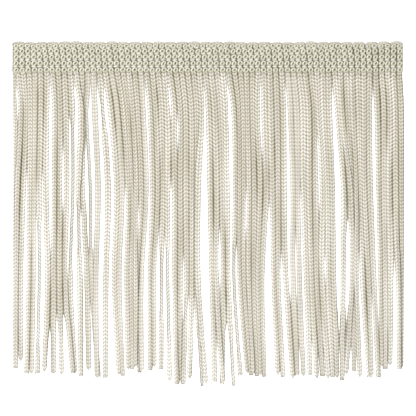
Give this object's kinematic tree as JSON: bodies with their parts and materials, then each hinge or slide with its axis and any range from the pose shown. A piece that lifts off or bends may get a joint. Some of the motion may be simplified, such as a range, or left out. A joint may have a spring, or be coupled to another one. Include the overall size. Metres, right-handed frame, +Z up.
{
  "type": "chainette fringe trim",
  "caption": "Cut length of ivory chainette fringe: cut cords hang side by side from a chain-stitched heading with a scalloped top edge, sewn along furnishing and garment edges.",
  "frame": {"origin": "middle of the heading's back face, which lies on the surface", "axes": "+X along the heading to the right seen from the front, +Y from the cut ends towards the scalloped edge, +Z up out of the face"},
  "size_m": [0.1734, 0.1525, 0.0033],
  "materials": {
    "chainette_cord": "soft satin knitted yarn, natural ivory",
    "heading_yarn": "soft satin chain-stitched yarn, natural ivory"
  },
  "bodies": {
    "root": {"cords": "chainette_cord", "chain_row_1": "heading_yarn", "chain_row_2": "heading_yarn", "chain_row_3": "heading_yarn", "chain_row_4": "heading_yarn", "chain_row_5": "heading_yarn"}
  },
  "joints": []
}
